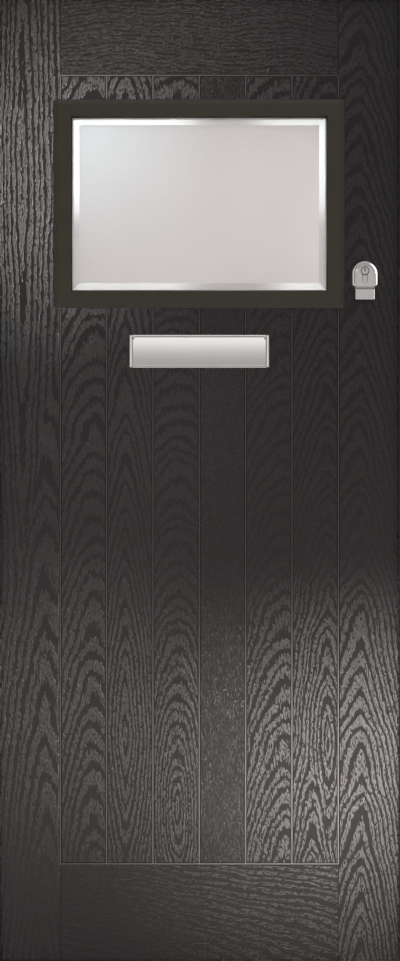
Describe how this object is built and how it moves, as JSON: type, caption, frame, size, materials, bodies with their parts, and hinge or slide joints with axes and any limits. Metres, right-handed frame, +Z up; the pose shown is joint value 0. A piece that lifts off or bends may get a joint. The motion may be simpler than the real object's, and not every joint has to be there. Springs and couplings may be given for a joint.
{
  "type": "panelled front door",
  "caption": "Front door in its frame: grooved dark woodgrain leaf with a bevelled glass light, letterplate, keyed cylinder with finger pull, hook-bolt lock and barrel hinges.",
  "frame": {"origin": "middle of the threshold's underside: mid-width and mid-depth of the frame", "axes": "+X from the hinge side to the lock side, +Y from the street into the room, +Z up"},
  "size_m": [0.936, 0.1215, 2.072],
  "materials": {
    "timber": "planed softwood",
    "frame_finish": "dark foiled hardwood",
    "leaf_skin": "dark grained moulding",
    "foam": "rigid foam",
    "cassette_dark": "smooth satin",
    "tunnel_dark": "satin",
    "packer": "plain",
    "seal": "soft",
    "glass": "clear, the inner pane obscured",
    "spacer": "warm-edge grey",
    "aluminium": "satin anodised",
    "satin_steel": "satin",
    "polished_steel": "polished",
    "cylinder_nickel": "nickel plated",
    "fixings": "zinc plated",
    "lock_steel": "zinc plated",
    "hinge_steel": "satin"
  },
  "bodies": {
    "frame": {"hinge_jamb": "frame_finish", "lock_jamb": "frame_finish", "head_member": "frame_finish", "hinge_stop": "frame_finish", "lock_stop": "frame_finish", "head_stop": "frame_finish", "threshold": "aluminium", "frame_seal": "seal", "latch_keep": "satin_steel", "hook_keeps": "satin_steel", "keep_screws": "fixings", "upper_hinge_frame_plate": "hinge_steel", "middle_hinge_frame_plate": "hinge_steel", "lower_hinge_frame_plate": "hinge_steel", "hinge_pins": "hinge_steel", "hinge_frame_screws": "fixings"},
    "leaf": {"outer_skin": "leaf_skin", "inner_skin": "leaf_skin", "foam_core": "foam", "hinge_stile": "timber", "lock_stile": "timber", "top_rail": "timber", "bottom_rail": "timber", "foot_seal": "seal", "outer_cassette": "cassette_dark", "inner_cassette": "cassette_dark", "cassette_screws": "fixings", "outer_gasket": "seal", "inner_gasket": "seal", "bevelled_pane": "glass", "inner_pane": "glass", "spacer_bar": "spacer", "glazing_packers": "packer", "letterplate_frame": "satin_steel", "inner_letter_frame": "satin_steel", "flap_pins": "fixings", "letter_tunnel": "tunnel_dark", "letterplate_bolts": "fixings", "cylinder_pull": "polished_steel", "cylinder_body": "cylinder_nickel", "inner_escutcheon": "satin_steel", "pull_bolts": "fixings", "faceplate": "satin_steel", "edge_screws": "fixings", "lock_case": "lock_steel", "hook_cases": "lock_steel", "upper_hinge_leaf_plate": "hinge_steel", "middle_hinge_leaf_plate": "hinge_steel", "lower_hinge_leaf_plate": "hinge_steel", "hinge_leaf_screws": "fixings"},
    "outer_flap": {"letterplate_flap": "satin_steel"},
    "inner_flap": {"inner_letter_flap": "satin_steel"},
    "lock_core": {"cylinder_plug": "cylinder_nickel", "cylinder_cam": "cylinder_nickel", "thumbturn": "polished_steel"},
    "latch": {"latch_bolt": "lock_steel"},
    "upper_hook_bolt": {"upper_hook": "lock_steel"},
    "lower_hook_bolt": {"lower_hook": "lock_steel"},
    "upper_drive_rod": {"upper_rod": "lock_steel"},
    "lower_drive_rod": {"lower_rod": "lock_steel"}
  },
  "joints": [
    {"name": "leaf_swing", "type": "hinge", "parent": "frame", "child": "leaf", "pos_m": [-0.4245, 0.0445, 1.024], "axis": [0, 0, 1], "range_deg": [0, 100]},
    {"name": "outer_flap_lift", "type": "hinge", "parent": "leaf", "child": "outer_flap", "pos_m": [0, -0.0156, 1.3175], "axis": [-1, 0, 0], "range_deg": [0, 75], "stiffness_Nm_per_rad": 0.1, "springref_deg": -28.65},
    {"name": "inner_flap_lift", "type": "hinge", "parent": "leaf", "child": "inner_flap", "pos_m": [0, 0.0416, 1.3175], "axis": [1, 0, 0], "range_deg": [0, 75], "stiffness_Nm_per_rad": 0.1, "springref_deg": -28.65},
    {"name": "lock_turn", "type": "hinge", "parent": "leaf", "child": "lock_core", "pos_m": [0.3405, 0.013, 1.455], "axis": [0, 1, 0], "range_deg": [0, 90]},
    {"name": "latch_slide", "type": "slide", "parent": "leaf", "child": "latch", "axis": [1, 0, 0], "range_m": [0, 0.014]},
    {"name": "upper_hook_swing", "type": "hinge", "parent": "leaf", "child": "upper_hook_bolt", "pos_m": [0.404, 0.013, 1.785], "axis": [0, 1, 0], "range_deg": [0, 90]},
    {"name": "lower_hook_swing", "type": "hinge", "parent": "leaf", "child": "lower_hook_bolt", "pos_m": [0.404, 0.013, 0.535], "axis": [0, 1, 0], "range_deg": [0, 90]},
    {"name": "upper_rod_slide", "type": "slide", "parent": "leaf", "child": "upper_drive_rod", "axis": [0, 0, 1], "range_m": [0, 0.015]},
    {"name": "lower_rod_slide", "type": "slide", "parent": "leaf", "child": "lower_drive_rod", "axis": [0, 0, -1], "range_m": [0, 0.015]}
  ],
  "couplings": [
    {"joint": "latch_slide", "follows": "lock_turn", "m_per_rad": 0.008912},
    {"joint": "upper_hook_swing", "follows": "lock_turn", "ratio": 1},
    {"joint": "lower_hook_swing", "follows": "lock_turn", "ratio": 1},
    {"joint": "upper_rod_slide", "follows": "lock_turn", "m_per_rad": 0.009549},
    {"joint": "lower_rod_slide", "follows": "lock_turn", "m_per_rad": 0.009549}
  ]
}
